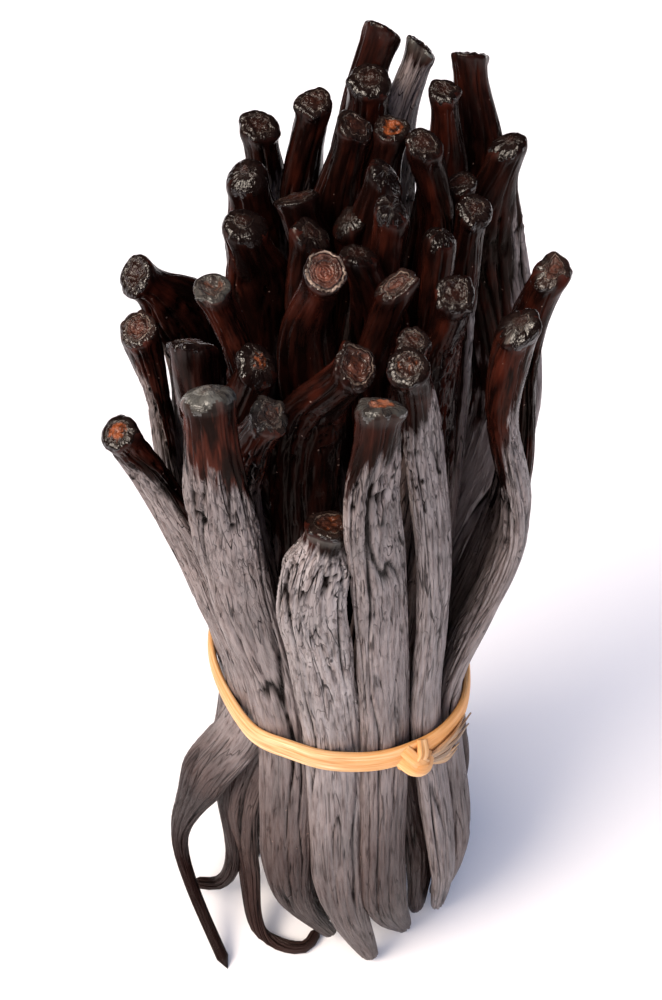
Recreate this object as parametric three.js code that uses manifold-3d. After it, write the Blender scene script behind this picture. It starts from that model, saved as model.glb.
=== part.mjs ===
// A bundle of cured vanilla pods, standing on its tail ends, tied round the waist with a strand of raffia.
// Millimetres, +Z up, the table at z = 0, the front towards -Y, the origin at the middle of the box's base.
// The hidden middle of the bundle is one core. The pods that show are true tapered pods, fused to it.

import * as THREE from "three";
import { mergeVertices } from "three/addons/utils/BufferGeometryUtils.js";
import Module from "manifold-3d";

const wasm = await Module();
wasm.setup();

// ---- driving dimensions ----

// One cured pod: a round cut stem end on a round neck, a long flat body and a tail that thins to the tip.
const pod = {
  stemRadius: 2.6, // rim of the cut stem end
  neckRadius: 2.35, // just below the rim
  rimLength: 3,
  sideSlant: [-0.25, 0.25], // sideways slope of the cut end
  flatness: 0.47, // thickness of the body over its width
  tailLength: 36,
  tailShape: 0.75, // under 1 the tail stays full and thins late, over 1 it is thin for most of its length
  strayTailShape: 1.5,
  tipRadius: 1.1,
};

// Where the pods pass the tie, and how they spread above and below it.
const waist = {
  height: 66,
  slope: -0.19, // the tie falls to the right by this much for each millimetre
  rings: [18.7, 14.5, 10.3, 6.2, 0], // radius of each ring of pods, outermost first
  firstBearings: [-4, 14, 28, 74, 0], // degrees from the front, anticlockwise seen from above
  shingle: 12, // degrees that each flat pod is turned, so that its edge tucks under the next one
};
const spread = {
  shoulderRise: 0.5, // share of the height from tie to stem end at which the pods have
  shoulderReach: [0.52, 0.46, 0.44, 0.42, 0.42], // this share of their sideways run done, ring by ring
  neckRun: 14, // the neck's straight end
  neckTurn: [-12, 12], // degrees that a pod has turned round itself, one tie height above the tie
  heelHeight: 27,
  heelReach: 1.17, // the pods stand this much wider at the heel than at the tie
  heelLoose: [-0.8, 0.8], // and this much nearer the axis or further out
  heelTurn: [-4, 4], // degrees that the heels twist round the axis
  tipReach: 0.88, // the pods draw in again to the tips
  tipLoose: [-2, 1],
  tipTurn: [-2, 14],
  tipLift: [2, 9], // how far the tips that don't stand stay off the table
};

// Each ring of pods in turn, anticlockwise from the front as seen from above. For each pod: how far its stem
// end stands right of the axis, behind it and above the table, how far its neck leans right and its cut end
// faces forwards in degrees, how far its body bows to the right, how wide its body is, and how far below the
// cut end it is that wide.
const heads = [
  [
    [-2, -28, 126, 10, 0, -3, 10.4, 8],
    [4, -29, 147, 3, -8, -0.3, 9.2, 12],
    [7.5, -23, 148, -10, 24, 4, 8.6, 16],
    [22, -13, 147, 4, 10, 1.5, 9.4, 18],
    [28.5, 0.5, 146, 14, 15, 0.8, 8.8, 14],
    [23, 19, 154, 8, 5, 1, 9.6, 18],
    [17.5, 28.5, 161, -6, -22, 2, 9.8, 15],
    [11, 29, 163, 16, -15, 0, 8.4, 22],
    [4.5, 30, 165, 16, -25, -1.5, 9, 24],
    [-11.5, 23.5, 153, -3, 18, 0, 9, 16],
    [-29, 6, 141, -30, 25, -1, 9, 20],
    [-28, -2.5, 138, -14, 25, 0, 8.6, 16],
    [-30.5, -13.5, 129, -24, 28, 2, 9.2, 13],
    [-17, -23, 144, -3, -22, -1.8, 10.6, 17],
  ],
  [
    [8.5, -15.5, 146, 0, 18, 0, 8, 14],
    [14, -9.5, 149, 4, 30, 0.5, 9.4, 13],
    [17.5, 8.5, 150, 3, 22, 0, 9.6, 18],
    [16, 15, 150, 4, 10, 0, 8.6, 14],
    [13.5, 20.5, 160, -4, 16, 0, 9, 20],
    [3.5, 23.5, 160, 2, 14, 0, 9.6, 16],
    [-4, 24.5, 157, 8, 14, 0, 9.2, 20],
    [-13.5, 14.5, 152, -4, 12, -1, 9.4, 13],
    [-17.5, -4, 146, -14, 6, -0.5, 9, 15],
    [-9.5, -20.5, 138, 20, 24, -2, 7.4, 11],
    [1.5, -18, 144, 26, 30, -3.5, 9.8, 15],
  ],
  [
    [6.5, -9, 150, 9, 20, 0, 9, 18],
    [12.5, 0.5, 150, 2, -5, 0, 8.4, 12],
    [10.5, 12, 157, -10, 22, 0, 8.6, 14],
    [6.5, 15.5, 158, 8, 10, 0, 8, 16],
    [1.5, 15.5, 158.5, 10, 10, 0, 9, 20],
    [-6.5, 11, 150, -12, 2, 0, 8.6, 12],
    [-13.5, 5, 150, -8, 16, -1.5, 9.4, 14],
    [-19, -9.5, 141, -3, -15, 0, 8.8, 14],
    [-11, -13.5, 141, 12, 8, -1, 8.4, 14],
  ],
  [
    [6, -0.5, 156, 2, 16, 0, 9.4, 20],
    [5.5, 8, 156, 10, 6, 0, 9, 15],
    [0.5, 9, 148, -3, 12, 0, 8.4, 13],
    [-4.5, 2.5, 150, 6, 14, 0, 8.6, 17],
    [-2.5, -12, 154, 11, 36, 0, 9.6, 24],
  ],
  [[1.5, -3.5, 151, -14, 4, 0, 8.4, 13]],
];
// The tails that stray from the bundle, all at the front left: which pod, and where its tail runs, tip first.
const strays = [
  { ring: 0, place: 12, tail: [[-21.4, -21.4, 0], [-29, -5.5, 18], [-23.5, -8.5, 42]] },
  { ring: 0, place: 11, tail: [[-29, -5.5, 4.5], [-21, -5, 12], [-24, -3, 30]] },
  { ring: 1, place: 9, tail: [[-6.5, -16.5, 1], [-15.2, -14, 2.5], [-17.5, -8, 15], [-18, -8, 32]] },
];

// The strand of raffia, pulled tight and knotted at the front right, with two short ends.
const strand = {
  halfWidth: 1.75,
  halfThickness: 0.6,
  gap: 0.3, // between the strand and the pods
  edgeSpare: 0.3, // how far past its edges the pods' outline is taken
  knotBearing: 33,
  knotDrop: 0.8, // the knot hangs this much below the middle of the strand
  knotSize: [2.6, 1.5, 2.5], // half its width, depth and height
  endSize: 0.8, // the ends are this much finer than the strand
  endLift: 0.4, // and stand off the pods a little more than the knot's middle
  ends: [
    { turn: 32, drop: 6.5 }, // degrees round the bundle from the knot, and millimetres down
    { turn: 38, drop: 2.2 },
  ],
};

// The unseen middle that the pods are fused to: [radius, height] from the bottom up.
const core = [
  [12, 14],
  [18.5, 26],
  [17.2, 66],
  [19, 88],
  [15, 100],
];
const coreSides = 20;

// What is taken off every place to bring the bounding box over the origin.
const middle = [-0.8, -0.5];

const podSides = 8;
const outerStations = 13;
const topStations = 7;
const tailStations = 4;
const stemCrowding = 1.7;
const inCore = 8; // how deep a top or a tail reaches into the core
const strandSides = 8;
const strandSteps = 72;

// ---- helpers ----

const radians = THREE.MathUtils.degToRad;
const lerp = THREE.MathUtils.lerp;

// A repeatable draw between two limits, for one use on one pod.
function between(number, use, [low, high]) {
  const wave = Math.sin(number * 12.9898 + use * 78.233) * 43758.5453;
  return lerp(low, high, wave - Math.floor(wave));
}

// A point at a radius and a bearing in degrees from the front.
function atBearing(radius, bearing, height) {
  const angle = radians(bearing);
  return new THREE.Vector3(radius * Math.sin(angle), -radius * Math.cos(angle), height);
}

// A closed geometry as a solid that can be joined and cut.
function solidFrom(geometry) {
  const bare = geometry.clone();
  bare.deleteAttribute("normal");
  bare.deleteAttribute("uv");
  const merged = mergeVertices(bare);
  return new wasm.Manifold(
    new wasm.Mesh({
      numProp: 3,
      vertProperties: merged.attributes.position.array,
      triVerts: merged.index.array,
    }),
  );
}

// A solid's triangles as a geometry. Only its outer skin is kept, so hollows that joining sealed are filled.
function geometryFrom(solid) {
  const [body] = solid.decompose().sort((a, b) => b.volume() - a.volume());
  const { vertProperties, triVerts } = body.getMesh();
  const geometry = new THREE.BufferGeometry();
  geometry.setAttribute("position", new THREE.BufferAttribute(vertProperties, 3));
  geometry.setIndex(new THREE.BufferAttribute(triVerts, 1));
  geometry.computeVertexNormals();
  return geometry;
}

// ---- the pods ----

// Where one pod runs, from its tip on the table to its stem end, and the shape it has.
function layOut(ring, place, number) {
  const [x, y, z, lean, facing, bow, bodyWidth, neckLength] = heads[ring][place];
  const bearing = waist.firstBearings[ring] + (place * 360) / heads[ring].length;
  const atTie = atBearing(waist.rings[ring], bearing, waist.height);
  const stem = new THREE.Vector3(x, y, z);
  const shoulder = atTie.clone().lerp(stem, spread.shoulderReach[ring]);
  shoulder.x += bow;
  shoulder.z = lerp(waist.height, z, spread.shoulderRise);
  // Half of a cut end's turn to the front is the neck's own nod, the rest is the slant of the cut.
  const nod = radians(facing / 2);
  const neck = stem.clone().sub(
    new THREE.Vector3(Math.tan(radians(lean)), -Math.tan(nod), 1).setLength(spread.neckRun),
  );
  const stands = ring === 0 && place % 2 === 0;
  const heel = atBearing(
    waist.rings[ring] * spread.heelReach + between(number, 2, spread.heelLoose),
    bearing + between(number, 3, spread.heelTurn),
    spread.heelHeight,
  );
  const tip = atBearing(
    waist.rings[ring] * spread.tipReach + between(number, 4, spread.tipLoose),
    bearing + between(number, 5, spread.tipTurn),
    stands ? 0 : between(number, 6, spread.tipLift),
  );
  const stray = strays.find((one) => one.ring === ring && one.place === place);
  const tail = stray ? stray.tail.map((point) => new THREE.Vector3(...point)) : [tip, heel];
  return {
    ring,
    bearing,
    spine: new THREE.CatmullRomCurve3([...tail, atTie, shoulder, neck, stem]),
    halfWidth: bodyWidth / 2,
    neckLength,
    tailShape: stray ? pod.strayTailShape : pod.tailShape,
    turn: between(number, 7, spread.neckTurn),
    slant: new THREE.Vector3(between(number, 8, pod.sideSlant), -Math.tan(nod), 0),
  };
}

// Half the width and half the thickness of a pod at a distance from its stem end.
function sectionAt(one, fromStem, length) {
  const body = THREE.MathUtils.smoothstep(fromStem, pod.rimLength, one.neckLength);
  const rim = 1 - THREE.MathUtils.smoothstep(fromStem, 0, pod.rimLength);
  const taper = Math.min(1, (length - fromStem) / pod.tailLength) ** one.tailShape;
  const neck = lerp(pod.neckRadius, pod.stemRadius, rim);
  return [one.halfWidth, one.halfWidth * pod.flatness].map(
    (full) => pod.tipRadius + (lerp(neck, full, body) - pod.tipRadius) * taper,
  );
}

// The flat of a pod faces outwards at the tie and turns a little above it.
function frameAt(one, share) {
  const point = one.spine.getPointAt(share);
  const along = one.spine.getTangentAt(share);
  const rise = Math.max(0, point.z - waist.height) / waist.height;
  const angle = radians(one.bearing + waist.shingle + one.turn * rise);
  const width = new THREE.Vector3(Math.cos(angle), Math.sin(angle), 0);
  width.addScaledVector(along, -width.dot(along)).normalize();
  const thickness = new THREE.Vector3().crossVectors(width, along);
  return { point, along, width, thickness };
}

// A point on the skin of a pod at a distance from its stem end, at one angle round it.
function skinPoint(one, fromStem, across, outwards) {
  const length = one.spine.getLength();
  const { point, along, width, thickness } = frameAt(one, 1 - fromStem / length);
  const [halfWidth, halfThickness] = sectionAt(one, fromStem, length);
  const aside = width.multiplyScalar(across * halfWidth).addScaledVector(thickness, outwards * halfThickness);
  // The cut end is slanted: its skin points slide along the pod.
  const slide = fromStem === 0 ? -aside.dot(one.slant) : 0;
  return point.add(aside).addScaledVector(along, slide);
}

// The stretch of a pod between two distances from its stem end: a closed cylinder bent onto the spine.
function podStretch(one, from, to, stations, sides) {
  const tube = new THREE.CylinderGeometry(1, 1, 1, sides, stations - 1);
  const places = tube.attributes.position;
  for (let i = 0; i < places.count; i++) {
    // Stations lie closest at the stem end, where the shape changes fastest.
    const share = (0.5 - places.getY(i)) ** (from === 0 ? stemCrowding : 1);
    const skin = skinPoint(one, lerp(from, to, share), places.getX(i), places.getZ(i));
    places.setXYZ(i, ...skin);
  }
  return solidFrom(tube);
}

// The distance from the stem end at which a spine passes a height.
function depthOf(one, height) {
  let share = 1;
  while (share > 0 && one.spine.getPointAt(share).z > height) share -= 0.01;
  return (1 - share) * one.spine.getLength();
}

const laid = heads
  .flatMap((ring, r) => ring.map((head, place) => [r, place]))
  .map(([ring, place], index) => layOut(ring, place, index + 1));

// Pods of the outer ring show from end to end. Of the others only the top and the tail come out of the core.
const [coreBottom, coreTop] = [core[0][1], core[core.length - 1][1]];
const stretches = laid.flatMap((one) => {
  const length = one.spine.getLength();
  if (one.ring === 0) return [podStretch(one, 0, length, outerStations, podSides)];
  return [
    podStretch(one, 0, depthOf(one, coreTop - inCore), topStations, podSides),
    podStretch(one, depthOf(one, coreBottom + inCore), length, tailStations, podSides - 2),
  ];
});

const coreOutline = core.map(([radius, height]) => new THREE.Vector2(radius, height));
const coreGeometry = new THREE.LatheGeometry(
  [new THREE.Vector2(0, coreBottom), ...coreOutline, new THREE.Vector2(0, coreTop)],
  coreSides,
).rotateX(Math.PI / 2);

// Tips that run below the table are cut level with it.
const table = new THREE.BoxGeometry(100, 100, 10).translate(0, 0, -5);
const podsSolid = stretches
  .reduce((whole, stretch) => whole.add(stretch), solidFrom(coreGeometry))
  .subtract(solidFrom(table));

// ---- the raffia ----

// The height of the tie at a place on it.
function tieHeight(x) {
  return waist.height + waist.slope * x;
}

// How far the pods reach out from the axis along each bearing, over the height of the strand.
const slab = new THREE.BoxGeometry(100, 100, 2 * (strand.halfWidth + strand.edgeSpare))
  .rotateY(-Math.atan(waist.slope))
  .translate(0, 0, waist.height);
const girth = podsSolid.intersect(solidFrom(slab)).getMesh().vertProperties;
const bearingStep = 2;
const reaches = Array.from({ length: 360 / bearingStep }, (_, i) => {
  const outwards = atBearing(1, i * bearingStep, 0);
  let reach = 0;
  for (let v = 0; v < girth.length; v += 3) {
    reach = Math.max(reach, girth[v] * outwards.x + girth[v + 1] * outwards.y);
  }
  return reach;
});

// How far a strand pulled tight round the pods stands from the axis, at a bearing in degrees.
function tightRadius(bearing) {
  return Math.min(
    ...reaches.map((reach, i) => {
      const closeness = Math.cos(radians(bearing - i * bearingStep));
      return closeness > 0.5 ? reach / closeness : Infinity;
    }),
  );
}

// A place at a bearing, so far out from the pods and so far below the middle of the tie.
function offPods(bearing, out, drop) {
  const place = atBearing(tightRadius(bearing) + out, bearing, 0);
  place.z = tieHeight(place.x) - drop;
  return place;
}

// The band: a flat section turned into a round ring, then drawn to the tight outline and tilted.
const section = Array.from({ length: strandSides + 1 }, (_, i) => {
  const angle = ((i % strandSides) + 0.5) * ((2 * Math.PI) / strandSides);
  return new THREE.Vector2(Math.cos(angle) * strand.halfThickness, Math.sin(angle) * strand.halfWidth);
});
const ringRadius = waist.rings[0];
const band = new THREE.LatheGeometry(
  section.map((point) => new THREE.Vector2(point.x + ringRadius, point.y)),
  strandSteps,
).rotateX(Math.PI / 2);
const bandPlaces = band.attributes.position;
for (let i = 0; i < bandPlaces.count; i++) {
  const [x, y, z] = [bandPlaces.getX(i), bandPlaces.getY(i), bandPlaces.getZ(i)];
  const bearing = THREE.MathUtils.radToDeg(Math.atan2(x, -y));
  const out = Math.hypot(x, y) - ringRadius + strand.gap + strand.halfThickness;
  bandPlaces.setXYZ(i, ...offPods(bearing, out, -z));
}

const knotOut = strand.gap + strand.knotSize[1];
const knotPlace = offPods(strand.knotBearing, knotOut, strand.knotDrop);
const knot = new THREE.SphereGeometry(1, 12, 8)
  .scale(...strand.knotSize)
  .rotateZ(radians(strand.knotBearing))
  .translate(...knotPlace);

const endSection = new THREE.Shape(
  section.slice(0, -1).map((point) => point.clone().multiplyScalar(strand.endSize)),
);
const ends = strand.ends.map(({ turn, drop }) => {
  const bearing = strand.knotBearing + turn;
  return new THREE.ExtrudeGeometry(endSection, {
    steps: 6,
    bevelEnabled: false,
    extrudePath: new THREE.CatmullRomCurve3([
      knotPlace,
      offPods(bearing - turn / 2, knotOut + strand.endLift, drop / 2),
      offPods(bearing, knotOut + strand.endLift, drop),
    ]),
  });
});
const tieSolid = [knot, ...ends].reduce((whole, piece) => whole.add(solidFrom(piece)), solidFrom(band));

// ---- the bundle ----

const shift = new THREE.Matrix4().makeTranslation(-middle[0], -middle[1], 0);
const nodes = {
  pods: [podsSolid, { color: 0x2a1710, roughness: 0.45, metalness: 0 }],
  tie: [tieSolid, { color: 0xe0a35c, roughness: 0.7, metalness: 0 }],
};
const bundle = new THREE.Group();
for (const [name, [solid, look]] of Object.entries(nodes)) {
  const mesh = new THREE.Mesh(geometryFrom(solid).applyMatrix4(shift), new THREE.MeshStandardMaterial(look));
  mesh.name = name;
  bundle.add(mesh);
}

export default bundle;
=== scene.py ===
# A bundle of cured vanilla pods tied with raffia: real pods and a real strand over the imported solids.
# Objects are in metres. Sizes in the dictionaries are millimetres and degrees unless a note says otherwise.

import math
from functools import partial

import bmesh
import bpy
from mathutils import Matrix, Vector, noise


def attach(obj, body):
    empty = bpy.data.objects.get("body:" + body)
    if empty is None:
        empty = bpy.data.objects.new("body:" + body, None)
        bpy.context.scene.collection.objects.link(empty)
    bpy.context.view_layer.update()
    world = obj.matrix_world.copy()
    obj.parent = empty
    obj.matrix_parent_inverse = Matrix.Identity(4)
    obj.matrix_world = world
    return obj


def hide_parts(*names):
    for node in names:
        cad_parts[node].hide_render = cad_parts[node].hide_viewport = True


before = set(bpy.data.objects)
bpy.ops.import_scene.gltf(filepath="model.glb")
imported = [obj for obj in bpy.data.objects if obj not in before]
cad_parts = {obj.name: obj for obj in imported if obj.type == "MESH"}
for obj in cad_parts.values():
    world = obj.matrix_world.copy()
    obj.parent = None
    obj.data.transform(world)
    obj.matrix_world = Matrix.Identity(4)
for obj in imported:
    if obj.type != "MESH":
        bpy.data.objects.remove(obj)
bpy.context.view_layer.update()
mm = 0.001
print("frame loaded")

# The camera comes first: it looks down on the bundle from the front.
view = {
    "place": (-1.0, -164.3, 262.3),
    "downwards": 44,
    "lens": 54,
    "frameHeight": 36,
    "nearest": 10,
}
bpy.ops.object.camera_add(
    location=[side * mm for side in view["place"]],
    rotation=(math.radians(90 - view["downwards"]), 0, 0),
)
camera = bpy.context.object
camera.data.sensor_fit = "VERTICAL"
camera.data.sensor_height = view["frameHeight"]
camera.data.lens = view["lens"]
camera.data.clip_start = view["nearest"] * mm
bpy.context.scene.camera = camera
print("camera placed")


def between(number, use, limits):  # a repeatable draw for one use on one pod
    wave = math.sin(number * 12.9898 + use * 78.233) * 43758.5453
    return limits[0] + (limits[1] - limits[0]) * (wave - math.floor(wave))


def mix(low, high, share):
    return low + (high - low) * share


def smoothStep(value, low, high):
    share = min(1, max(0, (value - low) / (high - low)))
    return share * share * (3 - 2 * share)


def atBearing(radius, bearing, height):  # degrees from the front, anticlockwise seen from above
    angle = math.radians(bearing)
    return Vector((radius * math.sin(angle), -radius * math.cos(angle), height))


def deselectAll():
    if bpy.context.object and bpy.context.object.mode != "OBJECT":
        bpy.ops.object.mode_set(mode="OBJECT")
    bpy.ops.object.select_all(action="DESELECT")


def joinAs(name, objects):
    deselectAll()
    for one in objects:
        one.select_set(True)
    bpy.context.view_layer.objects.active = objects[0]
    bpy.ops.object.join()
    piece = bpy.context.object
    piece.name = piece.data.name = name
    bpy.ops.object.shade_smooth()
    return piece


def throughPoints(points, steps):  # a centripetal Catmull-Rom curve as a run of points
    ends = [2 * points[0] - points[1], *points, 2 * points[-1] - points[-2]]
    run = []
    for i in range(len(points) - 1):
        before, start, end, after = ends[i : i + 4]
        gaps = [math.sqrt((b - a).length) for a, b in ((before, start), (start, end), (end, after))]
        leave = (start - before) / gaps[0] - (end - before) / (gaps[0] + gaps[1]) + (end - start) / gaps[1]
        arrive = (end - start) / gaps[1] - (after - start) / (gaps[1] + gaps[2]) + (after - end) / gaps[2]
        leave, arrive = leave * gaps[1], arrive * gaps[1]
        square = 3 * (end - start) - 2 * leave - arrive
        cube = 2 * (start - end) + leave + arrive
        for j in range(steps):
            t = j / steps
            run.append(start + leave * t + square * t * t + cube * t**3)
    run.append(points[-1].copy())
    return run


curveSteps = 40  # from one of a spine's points to the next
aimReach = 0.6  # a spine's direction is read over this far each way


class Spine:  # a curve read by the distance from its last point
    def __init__(self, points):
        self.run = throughPoints(points, curveSteps)[::-1]
        self.far = [0.0]
        for a, b in zip(self.run, self.run[1:]):
            self.far.append(self.far[-1] + (b - a).length)
        self.length = self.far[-1]

    def at(self, distance):
        distance = min(self.length, max(0, distance))
        low, high = 0, len(self.far) - 1
        while high - low > 1:
            middle = (low + high) // 2
            if self.far[middle] <= distance:
                low = middle
            else:
                high = middle
        share = (distance - self.far[low]) / (self.far[high] - self.far[low])
        return self.run[low].lerp(self.run[high], share)

    def towardsLast(self, distance):
        return (self.at(distance - aimReach) - self.at(distance + aimReach)).normalized()


# Where the pods lie, as the solids have them. A pod is cut at its stem end, which stands up.
pod = {
    "stemRadius": 2.6,
    "neckRadius": 2.35,
    "rimLength": 3,
    "flatness": 0.47,
    "tailLength": 36,
    "tailShape": 0.75,
    "tipRadius": 1.1,
    "tipRound": 1.6,
}
waist = {
    "height": 66,
    "slope": -0.19,
    "rings": [18.7, 14.5, 10.3, 6.2, 0],
    "firstBearings": [-4, 14, 28, 74, 0],
    "shingle": 12,
}
spread = {
    "shoulderRise": 0.5,
    "shoulderReach": [0.52, 0.46, 0.44, 0.42, 0.42],
    "neckRun": 14,
    "neckTurn": (-12, 12),
    "heelHeight": 27,
    "heelReach": 1.17,
    "heelLoose": (-0.8, 0.8),
    "heelTurn": (-4, 4),
    "tipReach": 0.88,
    "tipLoose": (-2, 1),
    "tipTurn": (-2, 14),
    "tipLift": (2, 9),
}
# A neck is smooth and dark, and a body has a dull grey film: partly its own bloom, partly painted reflection
# of the white floor. It starts further down at the back.
filmAndReflection = {
    "startShare": 0.75,  # of the neck's length
    "backDrop": 24,
    "backFrom": (-24, 0),
    "backDropLeft": 0.35,  # share of that drop on the left
    # the leftmost pod keeps its grey on its lit left side only: painted light
    "leftmostBeyond": -20,
    "leftmostDrop": 14,
    "leftmostSides": (-0.5, 0.4),
    "fadeIn": (0.8, 1.6, 4),  # from and to as shares of the start, and millimetres more
    # right-facing sides get the grey higher up and paler: a painted sheen of the bright room at the side
    "rightFrom": (-2, 12),
    "rightRise": 0.7,
    "rightSides": (0, 0.55),
    "rightTone": 0.8,
    "rightToneSides": (0.4, 0.8),
    "tailFade": (78, 22),  # from the tip
    "tailDark": 0.85,
    # outer pods are paler and inner pods darker: painted reflection outside, painted shade between the pods
    "outerTones": (0.25, 0.55),
    "innerTones": (0, 0.25),
}
middle = Vector((-0.8, -0.5, 0))  # taken off every place, so that the bundle's box is centred

# Ring by ring from the front: how far the stem end stands right, behind and up, how far the neck leans
# right and the cut end faces forwards, how far the body bows right, how wide it is, and how far below the
# end it is that wide.
stemEnds = [
    [
        (-2, -28, 126, 10, 0, -1.9, 9.8, 8),
        (4, -29, 147, 3, -8, -0.3, 9.2, 12),
        (7.5, -23, 148, -10, 24, 2.4, 8.2, 16),
        (22, -13, 147, 4, 10, 5.0, 9.4, 18),
        (28, 0.5, 145.5, 12, 15, 2.4, 8.8, 14),
        (23, 19, 154, 8, 5, 6.2, 11, 16),
        (17.5, 28.5, 162, -6, -22, 4, 9.8, 15),
        (11, 29, 163, 16, -15, 0, 8.4, 22),
        (5.5, 30, 165, 16, -25, -0.5, 9, 24),
        (-12, 23.5, 154, -3, 18, -2.5, 8.6, 16),
        (-29, 6, 141, -30, 25, 2, 10.6, 10),
        (-28, -2.5, 138, -5, 25, -1.2, 8, 16),
        (-30.5, -13.5, 129, -17, 28, 3.2, 9.6, 8),
        (-17, -23, 144, -3, -22, -1.6, 9.7, 17),
    ],
    [
        (8.5, -15.5, 146, 0, 18, 0, 8, 14),
        (14, -9.5, 149, 4, 30, 0.5, 9.4, 13),
        (17.5, 8.5, 150, 3, 22, 0, 9.6, 18),
        (16, 15, 150, 4, 10, 0, 8.6, 14),
        (13.5, 20.5, 161, -4, 16, -0.8, 7.8, 20),
        (3.5, 23.5, 161, 2, 14, 0, 10, 16),
        (-4, 24.5, 157, 8, 14, 2, 8.8, 20),
        (-13.5, 14.5, 152, -4, 12, -1, 9.4, 13),
        (-17.5, -4, 146, -14, 6, -0.5, 9, 15),
        (-9.5, -20.5, 138, 20, 24, -2, 7.4, 11),
        (1.5, -18, 144, 26, 30, -3.5, 9.8, 15),
    ],
    [
        (6.5, -9, 150, 9, 20, 0, 9, 18),
        (12.5, 0.5, 151.5, 2, -5, 0, 8.4, 12),
        (10.5, 12, 157.8, -10, 22, 0, 8.6, 14),
        (6.5, 15.5, 158, 8, 10, 0, 8, 16),
        (1.5, 15.5, 158.5, 10, 10, 0, 9, 20),
        (-6.5, 11, 150, -12, 2, 0, 8.6, 12),
        (-13.5, 5, 150, -8, 16, 0, 9.8, 12),
        (-20, -9.5, 141, -3, -5, 0, 8.8, 14),
        (-11, -13.5, 141, 12, 8, -1, 8.4, 14),
    ],
    [
        (6, -0.5, 156, 2, 16, 0, 9.4, 20),
        (5.5, 8, 156, 10, 6, 0, 9, 15),
        (0.6, 8.2, 148.5, -3, 12, -0.4, 8.4, 13),
        (-4.5, 2.5, 150, 6, 14, 0, 8.6, 17),
        (-2.5, -12, 154, 11, 36, 0, 9.6, 24),
    ],
    [(1.5, -3.5, 151, -14, 4, 0, 8.4, 13)],
]
# (ring, place): how long the tail is, how fast it thins (over 1 is thin for longer), its way, tip first
ownTails = {
    (0, 12): (52, 2.4, [(-21.4, -21.6, 0), (-28.5, -9.5, 10), (-30.6, -4.5, 17.5), (-24.5, -7.5, 42)]),
    (0, 11): (36, 1.3, [(-30, -4.5, 3), (-24, -6, 5), (-20.5, -7, 14), (-21, -4, 34)]),
    (1, 9): (40, 1.6, [(-4, -13.5, 1.5), (-7, -17.5, 1), (-15, -15.5, 2.5), (-17.5, -8, 15), (-18, -8, 32)]),
    (0, 0): (36, 0.7, [(6, -19.3, 0), (0.5, -22.3, 26)]),
    (0, 1): (30, 0.7, [(12.5, -13, 0), (7.8, -21, 26)]),
    (0, 2): (30, 0.6, [(19, -8.5, 1), (18.5, -14.5, 26)]),
    (0, 3): (26, 0.5, [(18.5, -7, 2), (21.5, -8.5, 27)]),
    (1, 1): (30, 0.4, [(15, -9.2, 1.5), (14.5, -11, 27)]),
    (0, 13): (36, 0.7, [(-1.5, -15.5, 2), (-9, -20, 26)]),
}
# (ring, place): how stout the neck is, how far the cut also faces right and forwards (rise over run), how
# far it is hollowed (under 0 it is domed) and how round its rim is. The other cut ends are drawn.
ownEnds = {
    (0, 0): (1.25, -0.1, -0.15, 0.45, 0.9),
    (0, 1): (1.2, 0.05, -0.2, 0.15, 1.3),
    (0, 2): (1.05, 0.1, 0.15, 0.1, 0.8),
    (0, 3): (1.1, -0.5, 0.3, -0.6, 1.9),
    (0, 4): (1.0, -0.35, 0.3, 0.15, 1.2),
    (0, 5): (1.05, -0.5, 0.15, -1.1, 1.9),
    (0, 6): (1.05, 0.1, -0.1, 0.1, 0.4),
    (0, 7): (0.95, 0.45, -0.1, -0.2, 0.8),
    (0, 8): (1.15, 0.35, -0.2, 0.1, 0.9),
    (0, 9): (1.05, 0.2, 0.1, 0.3, 0.8),
    (0, 10): (1.15, -0.1, 0.1, 0.25, 0.8),
    (0, 11): (1.05, -0.15, 0.1, 0, 0.8),
    (0, 12): (1.05, 0, 0, -0.25, 0.9),
    (0, 13): (1.45, 0, 0.05, -1.2, 2.0),
    (1, 0): (0.88, -0.1, 0.1, 0.2, 0.7),
    (1, 1): (1.05, 0, 0.1, 0.35, 0.8),
    (1, 2): (0.92, 0.1, 0.2, 0.1, 1.1),
    (1, 3): (0.95, -0.5, 0, 0, 0.9),
    (1, 4): (0.85, 0, 0.1, 0.1, 0.9),
    (1, 5): (1.2, -0.1, 0.2, -0.1, 1.2),
    (1, 7): (1.3, -0.2, 0.2, -2.6, 2.6),
    (1, 8): (0.98, 0.15, 0.1, 0.8, 0.5),
    (1, 9): (1.05, 0.1, 0.1, 0.1, 0.9),
    (1, 10): (1.15, 0, 0.05, 0.4, 0.6),
    (2, 0): (0.92, -0.8, 0, 0, 0.8),
    (2, 1): (1.0, 0.1, 0.1, -2.4, 2.4),
    (2, 2): (1.0, 0.3, 0.1, 0, 0.8),
    (2, 5): (1.25, 0, -0.4, -0.2, 0.7),
    (2, 6): (1.3, 0.3, 0, -1.1, 2.0),
    (2, 7): (1.3, 0.15, -0.6, -0.7, 1.5),
    (2, 8): (1.1, 0.25, 0.5, -0.4, 1.6),
    (3, 0): (1.0, 0.5, 0.3, -1.5, 2.2),
    (3, 1): (1.1, 0.7, 0.2, -1.6, 2.2),
    (3, 2): (0.95, -0.6, 0.35, -0.5, 1.6),
    (3, 3): (1.05, 0.4, 0.1, -0.3, 1.5),
    (3, 4): (1.05, 0, 0, 0.2, 0.5),
    (4, 0): (0.95, 0.55, -0.1, 0.2, 1.0),
}
drawnEnd = [(0.94, 1.1), (-0.4, 0.4), (-0.1, 0.3), (-0.5, 0.4), (0.5, 1.5)]
drawnSlant, drawnWarmth, drawnRings, drawnCentre = (-0.1, 0.1), (0.05, 0.4), (0, 0.14), (-0.2, 0.2)
foldedNeck = 0.12
smoothEnd = 0.4  # the share of lumps that a domed end and the round cut keep
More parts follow.
